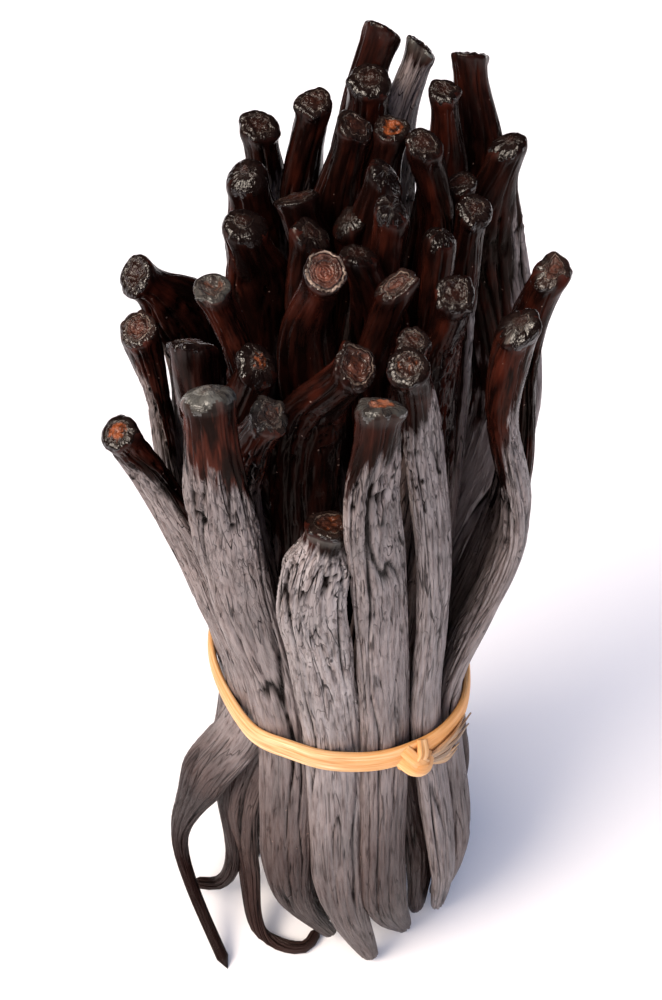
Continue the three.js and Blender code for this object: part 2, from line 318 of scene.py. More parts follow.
# (ring, place): the pods that differ from what is drawn or worked out for the others
warmEnds = {  # share of orange fibre that shows in the cut
    (0, 0): 0.5, (0, 1): 0.95, (0, 2): 0.48, (0, 12): 0.7, (1, 1): 0.1, (1, 8): 0.5, (1, 9): 0.45,
    (1, 10): 0.46, (2, 1): 0.6, (2, 3): 0.7, (2, 7): 0.1, (2, 8): 0.6, (3, 4): 0.4,
}
paleCuts = {  # share of the cut's rings that shows
    (0, 0): 0.25, (0, 4): 0.4, (0, 11): 0.5, (1, 1): 0, (1, 10): 0.5, (2, 0): 0.45, (3, 4): 1,
}
greyCuts = {(0, 1): 0.3, (0, 13): 0.6, (1, 8): 0.25, (1, 9): 0.1}  # share of grey film on the cut, partly painted reflection
paleBodies = {  # share of grey film on the body, partly painted reflection
    (0, 0): 1.0, (0, 1): 0.62, (0, 2): 0.7, (0, 3): 0.7, (0, 7): 0.6, (0, 12): 0.58, (0, 13): 0.6,
}
darkTails = {  # how dark the tail turns
    (0, 0): 0.8, (0, 1): 0.95, (0, 2): 0.2, (0, 3): 0.5, (0, 11): 1.5, (0, 12): 2.5, (0, 13): 1.1,
}
greyStarts = {  # how far down the dark neck ends
    (0, 0): 1, (0, 1): 6, (0, 2): 7, (0, 3): 15, (0, 7): 0.5, (0, 10): 6, (0, 11): 4, (0, 12): 3, (0, 13): 9,
    (1, 0): 10, (1, 10): 34,
}
greyTilts = {(0, 1): -3, (0, 2): -3, (0, 3): -9, (0, 13): 4}  # how much lower it ends on its right
foldedNecks = {(0, 1): 0.15, (0, 3): 0.45, (0, 11): 0.5, (0, 13): 0.9, (1, 8): 0.6, (1, 9): 0.6}
ownTurns = {(0, 5): 50, (0, 10): -50, (1, 7): -50, (2, 6): -80, (3, 3): -40}  # of the flat at the top


def layOut(ring, place, number):
    x, y, z, lean, facing, bow, bodyWidth, neckLength = stemEnds[ring][place]
    bearing = waist["firstBearings"][ring] + place * 360 / len(stemEnds[ring])
    atTie = atBearing(waist["rings"][ring], bearing, waist["height"])
    stem = Vector((x, y, z))
    shoulder = atTie.lerp(stem, spread["shoulderReach"][ring])
    shoulder.x += bow
    shoulder.z = mix(waist["height"], z, spread["shoulderRise"])
    nod = math.tan(math.radians(facing / 2))  # half of the turn to the front is the neck's, half the cut's
    neckWay = Vector((math.tan(math.radians(lean)), -nod, 1)).normalized()
    neck = stem - neckWay * spread["neckRun"]
    stands = ring == 0 and place % 2 == 0
    heel = atBearing(
        waist["rings"][ring] * spread["heelReach"] + between(number, 2, spread["heelLoose"]),
        bearing + between(number, 3, spread["heelTurn"]),
        spread["heelHeight"],
    )
    tip = atBearing(
        waist["rings"][ring] * spread["tipReach"] + between(number, 4, spread["tipLoose"]),
        bearing + between(number, 5, spread["tipTurn"]),
        0 if stands else between(number, 6, spread["tipLift"]),
    )
    drawnTail = (pod["tailLength"], pod["tailShape"], [tip, heel])
    tailLength, tailShape, tail = ownTails.get((ring, place), drawnTail)
    drawn = [between(number, 20 + i, limits) for i, limits in enumerate(drawnEnd)]
    girth, right, forwards, hollow, rimRound = ownEnds.get((ring, place), drawn)
    ringed = paleCuts.get((ring, place), between(number, 13, drawnRings))
    drop = filmAndReflection["backDrop"] * smoothStep(y, *filmAndReflection["backFrom"])
    if ring == 0 and x < 0:
        drop *= filmAndReflection["backDropLeft"]
    tones = filmAndReflection["outerTones"] if ring == 0 else filmAndReflection["innerTones"]
    return {
        "number": number,
        "ring": ring,
        "place": place,
        "bearing": bearing,
        "spine": Spine([*[Vector(point) for point in tail], atTie, shoulder, neck, stem]),
        "halfWidth": bodyWidth / 2,
        "neckLength": neckLength,
        "leftmost": ring == 0 and x < filmAndReflection["leftmostBeyond"],
        "tailLength": tailLength,
        "tailShape": tailShape,
        "turn": ownTurns.get((ring, place), between(number, 7, spread["neckTurn"])),
        "folded": foldedNecks.get((ring, place), foldedNeck),
        "darkTail": darkTails.get((ring, place), filmAndReflection["tailDark"]),
        "slant": Vector((between(number, 8, drawnSlant) + right, -nod - forwards, 0)),
        "girth": girth,
        "greyFrom": greyStarts.get((ring, place), neckLength * filmAndReflection["startShare"] + drop),
        "greyTilt": greyTilts.get((ring, place), 0),
        "warmth": warmEnds.get((ring, place), between(number, 9, drawnWarmth)),
        "tone": paleBodies.get((ring, place), between(number, 10, tones)),
        "greyCut": greyCuts.get((ring, place), 0),
        "rimRound": rimRound,
        "cup": hollow,
        "crinkle": smoothEnd if hollow < -1 or ringed == 1 else 1,
        "ringed": ringed,
        "offCentre": Vector([between(number, use, drawnCentre) for use in (14, 15)]),
    }


def sectionAt(one, fromStem):  # half the width and half the thickness
    body = smoothStep(fromStem, pod["rimLength"], one["neckLength"])
    rim = 1 - smoothStep(fromStem, 0, pod["rimLength"])
    taper = min(1, max(0, one["spine"].length - fromStem) / one["tailLength"]) ** one["tailShape"]
    neck = mix(pod["neckRadius"], pod["stemRadius"], rim) * one["girth"]
    return [
        pod["tipRadius"] + (mix(neck, full, body) - pod["tipRadius"]) * taper
        for full in (one["halfWidth"], one["halfWidth"] * pod["flatness"])
    ]


def frameAt(one, fromStem):  # middle, way to the stem end, way across the flat, way out of the flat
    point = one["spine"].at(fromStem)
    along = one["spine"].towardsLast(fromStem)
    rise = max(0, point.z - waist["height"]) / waist["height"]
    angle = math.radians(one["bearing"] + waist["shingle"] + one["turn"] * rise)
    width = Vector((math.cos(angle), math.sin(angle), 0))
    width = (width - along * width.dot(along)).normalized()
    return point, along, width, width.cross(along)


pods = []
for ring, places in enumerate(stemEnds):
    for place in range(len(places)):
        pods.append(layOut(ring, place, len(pods) + 1))
print("pods laid out:", len(pods))

# The skin sank into folds as it dried. Each layer of furrows: depth, how many go round, how far one runs,
# how wide it is cut, and its share on the neck and on the body. The others: depth, how many go round, run.
skin = {
    "folds": (0.8, 1.6, 62, 0.11, 0.45, 0.9),
    "furrows": (0.4, 3.9, 32, 0.13, 0.3, 1.0),
    "cracks": (0.34, 5.8, 17, 0.11, 0.0, 0.8),
    "buckles": (0.75, 2.6, 1.6, 0.17, 0.0, 0.03),
    "creases": (0.12, 9, 14, 0.3, 0.05, 0.6),
    "lowerShare": 0.55,  # the lower half is smoother
    "lowerFrom": (40, 85),
    "bodyStarts": (0.35, 1.15, 3),  # shares of the neck's length, and millimetres more
    "neckFolds": (2, 7),
    "shoulder": 5,  # it buckles within this far of the neck's lower end
    "wetPatches": (1.1, 11, -0.35, 0.3),  # how many go round, run, limits
    "rimFacets": (0.34, 1.5, 2.4),
    "facetFade": 2.5,
    "rimLumps": (0.45, 1.3, 4),
    "pits": (0.26, 5.0, 1.7),
    "pitLimits": (0.3, 0.52),
    "swell": (0.3, 0.8, 12),
    "wander": (0.35, 1, 22),
    "thinBelow": 2.2,  # a pod thinner than this keeps less relief
    "calmEnd": (0.4, 3.0),  # the cut end is hard and keeps few wrinkles
    "calmShare": 0.1,
    "slantRun": 7,  # the slant of the cut fades over this length
    "stemCrowding": 1.7,  # rings of points lie closer towards the stem end
    # a furrow this deep gets the full painted shade
    "fullShadeDepth": 0.75,
}
cutEnd = {
    "rings": [0.05] + [0.075] * 10,  # insets of the cut end, rim first, as shares of its radius
    "rimShare": 0.86,
    "ripples": 24,
    "rippleDepth": 0.05,
    "lumpDepth": 0.42,
    "lumps": 2.2,  # in the cut's radius
    "crumbs": (0.3, 5),
    "unevenRings": 0.14,
    "cupDepth": 0.9,
    "cupFrom": 0.25,
    "rimSoftness": 0.12,
    "raggedEdge": (0.6, 1.2),  # how far the cut's colour runs over the rim, and how often
}
grain = {  # the patterns' own millimetres: they lie round at the cut and flat on the body
    "halfWidth": 4.6,
    "halfThickness": 2.2,
    "apart": 200,  # from pod to pod, so that no two are alike
}


def furrow(value, halfWidth):  # 1 in the bottom of a furrow, 0 outside it
    return (1 - min(1, abs(value) / halfWidth)) ** 2


def noiseRound(angle, fromStem, around, run, seed):  # a noise that closes on itself round a pod
    return noise.noise((math.cos(angle) * around, math.sin(angle) * around, fromStem / run + seed))


def skinRelief(angle, fromStem, one):  # height in mm and how deep in a furrow the place lies, 0 to 1
    seed = one["number"] * 11.3
    full, around, run = skin["wander"]
    turned = angle + full * noiseRound(angle, fromStem, around, run, seed)
    start, end, more = skin["bodyStarts"]
    body = smoothStep(fromStem, one["neckLength"] * start, one["neckLength"] * end + more)
    body *= mix(1, skin["lowerShare"], smoothStep(fromStem, *skin["lowerFrom"]))
    body = max(body, one["folded"] * smoothStep(fromStem, *skin["neckFolds"]))
    calm = mix(skin["calmShare"], 1, smoothStep(fromStem, *skin["calmEnd"]))
    shoulder = math.exp(-(((fromStem - one["neckLength"]) / skin["shoulder"]) ** 2))
    around, run, low, high = skin["wetPatches"]
    patches = smoothStep(noiseRound(turned, fromStem, around, run, seed * 2), low, high)
    depth = 0
    for name, wet in (("folds", 1), ("furrows", 1), ("cracks", patches), ("buckles", 1), ("creases", 1)):
        full, around, run, halfWidth, onNeck, onBody = skin[name]
        share = mix(onNeck, onBody, body) * wet
        if name == "buckles":
            share = max(share, shoulder)
        if share > 0.02:
            value = noiseRound(turned, fromStem, around, run, seed * around)
            depth += full * share * furrow(value, halfWidth)
    full, around, run = skin["pits"]
    pits = noiseRound(turned, fromStem, around, run, -seed)
    depth += full * smoothStep(pits, *skin["pitLimits"]) * max(body, shoulder)
    full, around, run = skin["swell"]
    swell = full * noiseRound(turned, fromStem, around, run, -seed)
    full, around, run = skin["rimFacets"]
    facets = 2 * abs(noiseRound(turned, fromStem, around, run, seed)) - 0.4
    crumple = full * facets * math.exp(-fromStem / skin["facetFade"])
    full, around, run = skin["rimLumps"]
    crumple += full * noiseRound(turned, fromStem, around, run, seed) * math.exp(-fromStem / run)
    crumple *= one["crinkle"]
    return calm * (swell - depth) + crumple, min(1, calm * depth / skin["fullShadeDepth"])


def cutRelief(across, angle, one):  # height of the cut end's face above its rim
    x, y = across * math.cos(angle), across * math.sin(angle)
    off = Vector((x, y)) - one["offCentre"] * (1 - across)
    seed = one["number"] * 4.3
    swirl = noise.noise((x * cutEnd["lumps"], y * cutEnd["lumps"], seed))
    reach = off.length + cutEnd["unevenRings"] * swirl
    ripple = cutEnd["rippleDepth"] * one["ringed"] * math.cos(reach * cutEnd["ripples"])
    depth, crumbs = cutEnd["crumbs"]
    lumps = (swirl + depth * abs(noise.noise((x * crumbs, y * crumbs, seed)))) * one["crinkle"]
    hollow = 1 - across * across
    if one["cup"] > 0:
        hollow = 1 - smoothStep(reach, cutEnd["cupFrom"], cutEnd["rimShare"])
    cup = cutEnd["cupDepth"] * one["cup"] * hollow
    return (ripple + cutEnd["lumpDepth"] * lumps - cup) * smoothStep(1 - across, 0, cutEnd["rimSoftness"])


mostCuts = 100  # that subdivide makes in one go
tipInset = 0.4


def straightBlank(name, sides, rings, topInsets):  # a rod of radius 1 and length 1, its top at 1
    deselectAll()
    bpy.ops.mesh.primitive_cylinder_add(vertices=sides, radius=1, depth=1, location=(0, 0, 0.5))
    blank = bpy.context.object
    blank.name = name
    bpy.ops.object.transform_apply()
    bpy.ops.object.mode_set(mode="EDIT")
    bpy.ops.mesh.select_mode(type="EDGE")
    for cuts in [rings] if rings <= mostCuts else [rings // 2, 1]:
        bpy.ops.mesh.select_all(action="DESELECT")
        shape = bmesh.from_edit_mesh(blank.data)
        for edge in shape.edges:
            edge.select = abs(edge.verts[0].co.z - edge.verts[1].co.z) > 0.001
        bmesh.update_edit_mesh(blank.data)
        bpy.ops.mesh.subdivide(number_cuts=cuts)
    bpy.ops.mesh.select_mode(type="FACE")
    for height, insets in ((1, topInsets), (0, [tipInset])):
        bpy.ops.mesh.select_all(action="DESELECT")
        shape = bmesh.from_edit_mesh(blank.data)
        for face in shape.faces:
            face.select = len(face.verts) > 4 and abs(face.calc_center_median().z - height) < 0.01
        bmesh.update_edit_mesh(blank.data)
        for inset in insets:
            bpy.ops.mesh.inset(thickness=inset)
        bpy.ops.mesh.poke()
    bpy.ops.object.mode_set(mode="OBJECT")
    return blank


podAttributes = ("grain", "marks", "state")


def vectorsOn(mesh, names):
    return [mesh.attributes.new(name, "FLOAT_VECTOR", "POINT") for name in names]


def copyOf(blank):
    copy = bpy.data.objects.new(blank.name, blank.data.copy())
    bpy.context.collection.objects.link(copy)
    return copy


def layPod(one, blank):  # a copy of the blank bent onto the pod's spine and wrinkled
    result = copyOf(blank)
    mesh = result.data
    length, number, rimRound = one["spine"].length, one["number"], one["rimRound"]
    # grain: millimetres round and along the pod. marks: share of the cut's radius, tone, warmth or folds.
    # state: how deep in a furrow, which paints shade there, share of grey film, tail's or cut's tone.
    grains, marks, state = vectorsOn(mesh, podAttributes)
    stations = {}
    for i, vertex in enumerate(mesh.vertices):
        x, y, z = vertex.co
        across, angle = min(1, math.hypot(x, y)), math.atan2(y, x)
        key = round(z, 5)
        if key not in stations:
            fromStem = length * (1 - z) ** skin["stemCrowding"]
            stations[key] = fromStem, frameAt(one, fromStem), sectionAt(one, fromStem)
        fromStem, (point, along, width, thickness), (halfWidth, halfThickness) = stations[key]
        atTop = z > 0.999
        onCut = atTop and across < 0.999
        near = max(0, 1 - fromStem / rimRound)
        grow = 1 - rimRound * (1 - math.sqrt(1 - near * near)) / (pod["stemRadius"] * one["girth"])
        out = Vector((x / halfWidth, y / halfThickness)).normalized() if across > 0.01 else Vector((0, 0))
        relief, furrowShade = skinRelief(angle, fromStem, one)
        relief *= min(1, halfThickness / skin["thinBelow"])
        relief *= smoothStep(across, 0.5, 1) if onCut else across
        side = width * (x * halfWidth * grow + out.x * relief)
        side += thickness * (y * halfThickness * grow + out.y * relief)
        if z < 0.5:
            side *= math.sqrt(max(0, 1 - max(0, 1 - (length - fromStem) / pod["tipRound"]) ** 2))
        slide = -side.dot(one["slant"]) * max(0, 1 - fromStem / skin["slantRun"]) ** 2
        if onCut:
            slide += cutRelief(across, angle, one) * min(1, grow * 1.3)
        place = point + side + along * slide - middle
        place.z = max(0, place.z)
        vertex.co = place * mm
        facing = width.x * out.x + thickness.x * out.y
        # painted light: the grey starts higher and paler on right-facing sides as a painted sheen, and the
        # leftmost pod keeps it on its lit left side
        rightwards = 0 if one["leftmost"] else facing * smoothStep(point.y, *filmAndReflection["rightFrom"])
        greyFrom = one["greyFrom"] * (1 - filmAndReflection["rightRise"] * smoothStep(rightwards, *filmAndReflection["rightSides"]))
        greyFrom += one["greyTilt"] * facing
        if one["leftmost"]:
            greyFrom += filmAndReflection["leftmostDrop"] * smoothStep(facing, *filmAndReflection["leftmostSides"])
        start, end, more = filmAndReflection["fadeIn"]
        satin = smoothStep(fromStem, greyFrom * start, greyFrom * end + more)
        tone = one["greyCut"]
        if satin > 0:
            onRight = smoothStep(rightwards, *filmAndReflection["rightToneSides"])
            tone = max(one["tone"], filmAndReflection["rightTone"] * onRight * satin)
        flat = smoothStep(fromStem, pod["rimLength"], one["neckLength"])
        grains.data[i].vector = (
            mix(pod["stemRadius"], grain["halfWidth"], flat) * math.cos(angle) * across,
            mix(pod["stemRadius"], grain["halfThickness"], flat) * math.sin(angle) * across,
            fromStem + number * grain["apart"],
        )
        reach = across if atTop else 1 + fromStem / pod["stemRadius"]
        marks.data[i].vector = (reach, tone, one["warmth"] if atTop else one["folded"])
        tailOrCut = one["ringed"]
        if across > 0.999 and fromStem > pod["rimLength"]:
            fadeFrom, fadeTo = filmAndReflection["tailFade"]
            tailOrCut = smoothStep(fromStem, length - fadeFrom, length - fadeTo) * one["darkTail"]
        state.data[i].vector = (0 if onCut else furrowShade, satin, tailOrCut)
    overRim, unevenness = cutEnd["raggedEdge"]
    for face in mesh.polygons:
        first = face.vertices[0]
        x, y, _ = grains.data[first].vector
        ragged = overRim + noise.noise((x / unevenness, y / unevenness, number * 3.1))
        edge = 1 + rimRound / pod["stemRadius"] * ragged
        face.material_index = int(marks.data[first].vector[0] < edge and face.center.z > 0.1)
    return result


def linear(hexColour):  # sRGB hex to linear
    parts = [int(hexColour[i : i + 2], 16) / 255 for i in (1, 3, 5)]
    return (*[p / 12.92 if p <= 0.04045 else ((p + 0.055) / 1.055) ** 2.4 for p in parts], 1)


def plug(node, inputs):  # links or sets a node's sockets
    for socket, value in inputs.items():
        if isinstance(value, bpy.types.NodeSocket):
            node.id_data.links.new(value, node.inputs[socket])
        else:
            node.inputs[socket].default_value = linear(value) if isinstance(value, str) else value


# Adds a node with its inputs in their own order or by name, and gives back the socket that it puts out.
# A Map Range takes the value, then the two ends it comes from and the two it goes to.
def addNode(tree, kind, *inOrder, named=None, stops=(), **settings):
    node = tree.nodes.new("ShaderNode" + kind)
    for name, value in settings.items():
        setattr(node, name, value)
    plug(node, {**dict(enumerate(inOrder)), **(named or {})})
    for _ in stops[2:]:
        node.color_ramp.elements.new(0.5)
    for i, (place, colour) in enumerate(stops):  # of a ramp, each a hex colour or a grey
        node.color_ramp.elements[i].position = place
        node.color_ramp.elements[i].color = linear(colour) if isinstance(colour, str) else (*[colour] * 3, 1)
    return next((socket for socket in node.outputs if not socket.is_unavailable), None)


times, highest, inColour = {"operation": "MULTIPLY"}, {"operation": "MAXIMUM"}, {"data_type": "RGBA"}


def newMaterial(name):
    material = bpy.data.materials.new(name)
    material.use_nodes = True
    material.node_tree.nodes.clear()
    add = partial(addNode, material.node_tree)
    shader = add("BsdfPrincipled").node
    add("OutputMaterial", shader.outputs[0])
    return material, shader, add


skinPatterns = {  # how many fit side by side in 100 mm, their share of that along the pod, detail
    "patches": (28, 0.4, 3),
    "fibres": (200, 0.09, 5),
    "streaks": (110, 0.13, 4),
    "fine": (320, 0.4, 4),
    "longCracks": (75, 0.07, 1.2),
    "longMask": (30, 0.5, 1),
    "shortCracks": (80, 0.25, 1.5),
    "shortMask": (45, 0.5, 1),
    "fineCracks": (170, 0.16, 2),
}
crackEdges = {"longCracks": (0.005, 0.018), "shortCracks": (0.005, 0.018), "fineCracks": (0.01, 0.026)}
pitsIn100, dustAndGlintsIn100 = 62, 80


def curedVanillaSkin():  # oily shrunk skin: smooth dark red necks, satin grey-brown bodies whose grey is partly bloom and partly painted reflection, and cracks painted black as painted shade
    material, shader, add = newMaterial("curedVanillaSkin")
    place, marks, state = [add("Attribute", attribute_name=name).node.outputs[1] for name in podAttributes]
    fromCut, tone, folded = add("SeparateXYZ", marks).node.outputs
    furrowShade, satin, tail = add("SeparateXYZ", state).node.outputs
    pattern = {}
    for name, (count, along, detail) in skinPatterns.items():
        way = add("VectorMath", place, (1, 1, along), **times)
        pattern[name] = add("TexNoise", named={"Vector": way, "Scale": count / 100, "Detail": detail})
    for name, (near, far) in crackEdges.items():  # a crack is a thin line in its noise
        line = [(0.5 - far, 0.0), (0.5 - near, 1.0), (0.5 + near, 1.0), (0.5 + far, 0.0)]
        pattern[name] = add("ValToRGB", pattern[name], stops=line)
    patches, fibres, streaks, fine = [pattern[name] for name in ("patches", "fibres", "streaks", "fine")]

    # the dark neck and the grey body run into each other in long fingers
    fingers = add("Math", streaks, 3.0, satin, operation="MULTIPLY_ADD")
    fingers = add("Math", fingers, 0.42, **times)
    fingers = add("ValToRGB", fingers, stops=[(0.76, 0.0), (0.92, 1.0)])
    below = add("ValToRGB", satin, stops=[(0.0, 0.0), (0.12, 1.0)])
    fingers = add("Math", fingers, below, **times)
    satin = add("ValToRGB", satin, stops=[(0.6, 0.0), (0.95, 1.0)])
    satin = add("Math", fingers, satin, **highest)

    # long cracks run down the pod, short ones and pits lie near the neck, each where its own mask lets it;
    # all are painted near black as painted shade
    down = add("Math", fromCut, 0.03, **times)
    mask = add("ValToRGB", pattern["longMask"], stops=[(0.42, 0.0), (0.52, 1.0)])
    longCracks = add("Math", pattern["longCracks"], mask, **times)
    fade = add("ValToRGB", down, stops=[(0.3, 1.0), (0.9, 0.5)])
    longCracks = add("Math", longCracks, fade, **times)
    mask = add("ValToRGB", pattern["shortMask"], stops=[(0.58, 0.0), (0.66, 1.0)])
    shortCracks = add("Math", pattern["shortCracks"], mask, **times)
    fade = add("MapRange", fromCut, 6.0, 20.0, 0.45, 0.1)
    fineCracks = add("Math", pattern["fineCracks"], fade, **times)
    way = add("VectorMath", place, (1, 1, 0.5), **times)
    pits = add("TexVoronoi", named={"Vector": way, "Scale": pitsIn100 / 100, "Randomness": 1.0})
    pits = add("ValToRGB", pits, stops=[(0.1, 1.0), (0.2, 0.0)])
    mask = add("ValToRGB", patches, stops=[(0.45, 0.0), (0.55, 1.0)])
    pits = add("Math", pits, mask, **times)
    cracks = add("Math", pits, shortCracks, **highest)
    fade = add("ValToRGB", down, stops=[(0.3, 1.0), (0.75, 0.15)])
    for other, how in ((fade, times), (longCracks, highest), (fineCracks, highest), (satin, times)):
        cracks = add("Math", cracks, other, **how)
    # painted shade: cracks, pits, the bottoms of furrows and the gaps between fibres are painted near black
    dark = cracks
    for source, stops in ((furrowShade, [(0.25, 0.0), (0.8, 1.0)]), (fibres, [(0.3, 0.5), (0.4, 0.0)])):
        dark = add("Math", dark, add("ValToRGB", source, stops=stops), **highest)

    # the grey film, partly bloom and partly painted reflection of the white floor: strongest on pale bodies,
    # weak on tails, thinned between the fibres as painted shade
    grey = add("MapRange", tone, 0.0, 1.0, 0.14, 1.0)
    onTail = add("MapRange", tail, 0.0, 1.0, 1.0, 0.35)
    fibreShade = add("ValToRGB", fibres, stops=[(0.36, 0.6), (0.6, 1.0)])
    for other in (onTail, fibreShade):
        grey = add("Math", grey, other, **times)
    bodyColour = add("ValToRGB", patches, stops=[(0.3, "#33201b"), (0.5, "#4c3129"), (0.7, "#5f4337")])
    # a low tone darkens the body, which paints shade on the inner pods
    darkBody = add("Mix", named={0: 0.5, 6: bodyColour, 7: "#1f0f0c"}, **inColour)
    bodyColour = add("Mix", named={0: tone, 6: darkBody, 7: bodyColour}, **inColour)
    # the bloom's grey is partly painted reflection of the white floor
    bloomAndReflection = add("ValToRGB", patches, stops=[(0.35, "#857b77"), (0.65, "#a29894")])
    for source, share, tint in ((grey, 0.85, bloomAndReflection), (tail, 0.75, "#1f0f0c")):
        amount = add("Math", source, share, **times)
        bodyColour = add("Mix", named={0: amount, 6: bodyColour, 7: tint}, **inColour)

    # the neck: thin brown streaks, painted highlights on the ridges where it is folded, and grey film on a
    # greyed cut's rim, partly painted reflection
    neckColour = add("ValToRGB", patches, stops=[(0.35, "#0a0403"), (0.52, "#140705"), (0.7, "#34130b")])
    thin = add("ValToRGB", streaks, stops=[(0.5, 0.0), (0.7, 0.12)])
    # painted highlight: lighter red-brown streaks where the neck is folded
    ridgeHighlights = add("ValToRGB", streaks, stops=[(0.44, 0.0), (0.56, 1.0)])
    for other in (folded, 0.45):
        ridgeHighlights = add("Math", ridgeHighlights, other, **times)
    greyEnd = add("MapRange", fromCut, 1.0, 1.9, 1.0, 0.0)
    broken = add("ValToRGB", streaks, stops=[(0.35, 0.4), (0.6, 1.0)])
    for other in (tone, broken):
        greyEnd = add("Math", greyEnd, other, **times)
    for share, tint in ((thin, "#4a231a"), (ridgeHighlights, "#58291d"), (greyEnd, "#524f48")):
        neckColour = add("Mix", named={0: share, 6: neckColour, 7: tint}, **inColour)
    # pale specks on the skin: partly dust, partly painted glints
    dustAndGlints = add("TexVoronoi", named={"Vector": place, "Scale": dustAndGlintsIn100 / 100, "Randomness": 1.0})
    dustAndGlints = add("ValToRGB", dustAndGlints, stops=[(0.09, 1.0), (0.12, 0.0)])
    mask = add("ValToRGB", streaks, stops=[(0.58, 0.0), (0.62, 1.0)])
    dustAndGlints = add("Math", dustAndGlints, mask, **times)
    # the near-black mix is painted shade in the cracks, pits and furrows
    colour = neckColour
    for share, tint in ((satin, bodyColour), (dark, "#080302"), (dustAndGlints, "#7a6257")):
        colour = add("Mix", named={0: share, 6: colour, 7: tint}, **inColour)
    smooth = add("MapRange", satin, 0.0, 1.0, 0.2, 0.4)
    rough = add("Math", fine, 0.2, smooth, operation="MULTIPLY_ADD")
    rough = add("Math", rough, 0.1, operation="SUBTRACT")

    # its sheen: full on the body, a little at the cut's wet rim, in thin patches on the neck, none in cracks
    nearCut = add("MapRange", fromCut, 1.0, 1.9, 0.07, 0.004)
    sheen = grey
    for other, how in ((satin, times), (0.4, times), (nearCut, highest)):
        sheen = add("Math", sheen, other, **how)
    raised = add("Math", 1.0, dark, operation="SUBTRACT")
    relief = {}
    ribs = add("Math", fibres, satin, **times)
    for height, depth in ((ribs, 0.3), (fine, 0.05), (cracks, -0.3)):
        layer = {"Strength": 1.0, "Distance": depth * mm, "Height": height}
        relief["Normal"] = add("Bump", named={**layer, **relief})
    plug(shader, {
        "Base Color": colour,
        "Roughness": rough,
        "IOR": 1.16,
        "Specular Tint": "#ffe6d2",
        "Coat Weight": add("Math", sheen, raised, **times),
        "Coat Roughness": 0.32,
        "Coat IOR": 3.4,
        "Normal": relief["Normal"],
        "Coat Normal": relief["Normal"],
    })
    return material


cutPatterns = {  # how many fit side by side in 100 mm, detail
    "wander": (50, 4),
    "crumbs": (180, 3),
    "patches": (45, 2),
    "strands": (80, 3),
    "fine": (240, 3),
}


def cutStemFibre():  # a dried woody cut: rings of fibre, wet and crinkled, with some orange strands
    material, shader, add = newMaterial("cutStemFibre")
    place, marks, state = [add("Attribute", attribute_name=name).node.outputs[1] for name in podAttributes]
    across, tone, warmth = add("SeparateXYZ", marks).node.outputs
    paleness = add("SeparateXYZ", state).node.outputs[2]
    wander, crumbs, patches, strands, fine = [
        add("TexNoise", named={"Vector": place, "Scale": count / 100, "Detail": detail})
        for count, detail in cutPatterns.values()
    ]
    # the rings wander, less so on a pale cut
    uneven = add("Math", crumbs, 0.6, wander, operation="MULTIPLY_ADD")
    uneven = add("Math", uneven, 0.8, operation="SUBTRACT")
    share = add("MapRange", paleness, 0.0, 1.0, 0.5, 0.28)
    shifted = add("Math", uneven, share, across, operation="MULTIPLY_ADD")
    shifted = add("Math", paleness, -0.16, shifted, operation="MULTIPLY_ADD")
    waves = add("Math", shifted, 34.0, **times)
    waves = add("Math", waves, operation="SINE")
    ringHeight = add("MapRange", waves, -1.0, 1.0)
    ringShare = add("MapRange", paleness, 0.0, 1.0, 0.12, 1.0)
    outer = add("ValToRGB", shifted, stops=[(0.3, 0.5), (0.6, 1.0)])
    ringShare = add("Math", ringShare, outer, **times)
    ringHeight = add("Math", ringHeight, ringShare, **times)
    zoneStops = [(0.08, "#6a3a2b"), (0.24, "#7b4b3a"), (0.38, "#4a2a20")]
    zoneStops += [(0.5, "#744c3e"), (0.62, "#33201b"), (0.67, "#b79d88")]
    zoneStops += [(0.7, "#2a1c18"), (0.77, "#4a372f"), (0.86, "#140a08")]
    zones = add("ValToRGB", add("Math", shifted, 1.25, operation="DIVIDE"), stops=zoneStops)
    lines = add("Math", ringHeight, 0.45, **times)
    rings = add("Mix", named={0: lines, 6: zones, 7: "#140806"}, **inColour)
    shown = add("ValToRGB", patches, stops=[(0.42, 0.35), (0.56, 1.0)])
    shown = add("Math", paleness, shown, **times)
    darkRings = add("Mix", named={0: 0.91, 6: rings, 7: "#120b09"}, **inColour)
    colour = add("Mix", named={0: shown, 6: darkRings, 7: rings}, **inColour)
    glow = add("Math", strands, warmth, **times)
    glow = add("ValToRGB", glow, stops=[(0.26, 0.0), (0.4, 1.0)])
    inner = add("ValToRGB", shifted, stops=[(0.6, 1.0), (0.78, 0.0)])
    glow = add("Math", glow, inner, **times)
    # grey on a greyed cut: partly bloom, partly painted reflection
    cutBloomAndReflection = add("ValToRGB", wander, stops=[(0.4, 0.3), (0.6, 1.0)])
    cutBloomAndReflection = add("Math", tone, cutBloomAndReflection, **times)
    for share, tint in ((glow, "#80401f"), (cutBloomAndReflection, "#77756c")):
        colour = add("Mix", named={0: share, 6: colour, 7: tint}, **inColour)
    relief = {}
    for height, depth in ((strands, 0.55), (ringHeight, 0.12), (fine, 0.16)):
        layer = {"Strength": 1.0, "Distance": depth * mm, "Height": height}
        relief["Normal"] = add("Bump", named={**layer, **relief})
    rough = add("MapRange", fine, 0.3, 0.7, 0.06, 0.24)
    plug(shader, {"Base Color": colour, "Roughness": rough, "IOR": 1.6, **relief})
    return material


